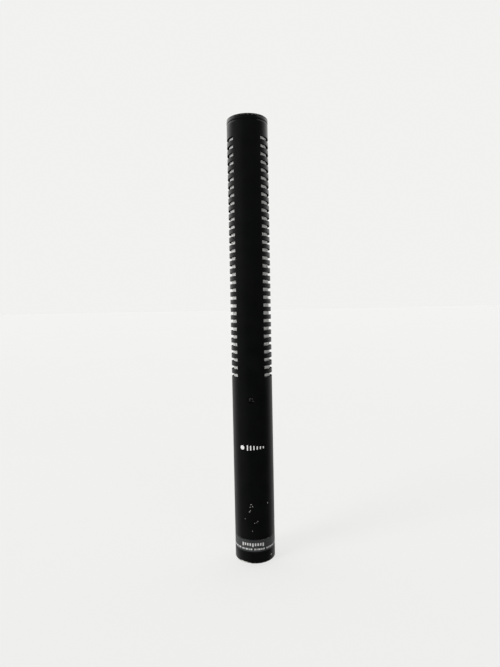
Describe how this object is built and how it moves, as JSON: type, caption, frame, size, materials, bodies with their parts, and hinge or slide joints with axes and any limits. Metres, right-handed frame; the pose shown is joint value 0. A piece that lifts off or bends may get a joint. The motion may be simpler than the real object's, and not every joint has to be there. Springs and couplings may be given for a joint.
{
  "type": "shotgun microphone",
  "caption": "Slender round microphone tube with opposite rows of narrow slots over a woven screen, a front grille, a plain grip section and a recessed pin connector in its tail.",
  "frame": {"origin": "centre of the tail face, where the microphone stands", "axes": "+Z along the tube from the connector to the front cap; -Y is the printed front with the capsule screw; +X is to its right as seen from the front"},
  "size_m": [0.0216, 0.0216, 0.2333],
  "materials": {
    "tube_paint": "satin black paint, small chips",
    "ring_paint": "satin black paint, worn edges",
    "band_print": "dark grey print, satin",
    "screen_weave": "fine woven wire, matt",
    "grille_weave": "woven wire",
    "steel_bare": "turned",
    "steel_dark": "black oxide",
    "cloth_dark": "fine cloth",
    "felt_grey": "felt",
    "rubber_black": "matt",
    "plastic_black": "moulded",
    "plastic_white": "turned, waxy",
    "aluminium_turned": "turned",
    "gold_plate": "plated",
    "foil_gold": "thin film",
    "board_green": "solder mask",
    "core_steel": "laminated",
    "coil_tape": "tape",
    "capacitor_red": "dipped",
    "capacitor_blue": "sleeve",
    "resistor_blue": "lacquer",
    "resistor_brown": "lacquer",
    "wire_red": "insulated wire"
  },
  "bodies": {
    "tail": {"tail_shell": "ring_paint", "label_band": "band_print", "tail_seal": "rubber_black", "connector_insert": "plastic_black", "pin_ground": "gold_plate", "pin_hot": "gold_plate", "pin_cold": "gold_plate", "ground_lug": "steel_bare", "retaining_ring": "steel_bare", "rear_bulkhead": "aluminium_turned", "front_bulkhead": "aluminium_turned", "rail_left": "aluminium_turned", "rail_right": "aluminium_turned", "chassis_screws": "steel_bare", "circuit_board": "board_green", "transformer_core": "core_steel", "transformer_bobbin": "plastic_black", "transformer_winding": "coil_tape", "film_capacitor": "capacitor_red", "electrolytic_capacitors": "capacitor_blue", "resistors": "resistor_blue", "gate_resistor": "resistor_brown", "input_transistor": "plastic_black", "connector_leads": "wire_red", "contact_insulator": "plastic_white", "contact_leaf": "gold_plate"},
    "housing": {"housing_tube": "tube_paint", "front_cap": "ring_paint", "front_grille": "grille_weave", "grille_ring": "steel_bare", "acoustic_screen": "screen_weave", "damping_sleeve": "cloth_dark", "capsule_seal": "rubber_black", "capsule_holder": "plastic_black", "capsule_ring_front": "rubber_black", "capsule_ring_rear": "rubber_black", "capsule_case": "aluminium_turned", "diaphragm_ring": "gold_plate", "diaphragm": "foil_gold", "diaphragm_spacer": "plastic_white", "backplate": "gold_plate", "backplate_insulator": "plastic_white", "rear_damper": "felt_grey", "capsule_clamp_ring": "aluminium_turned", "contact_stud": "gold_plate"},
    "capsule_screw": {"capsule_screw": "steel_dark"},
    "insert_screw": {"insert_screw": "steel_dark"}
  },
  "joints": [
    {"name": "housing_slide", "type": "slide", "parent": "tail", "child": "housing", "axis": [0, 0, 1], "range_m": [0, 0.075]},
    {"name": "capsule_screw_turn", "type": "hinge", "parent": "housing", "child": "capsule_screw", "pos_m": [0, -0.0095, 0.0871], "axis": [0, -1, 0], "continuous": true},
    {"name": "insert_screw_turn", "type": "hinge", "parent": "tail", "child": "insert_screw", "pos_m": [0, 0.008, 0.0177], "axis": [0, 1, 0], "continuous": true}
  ]
}
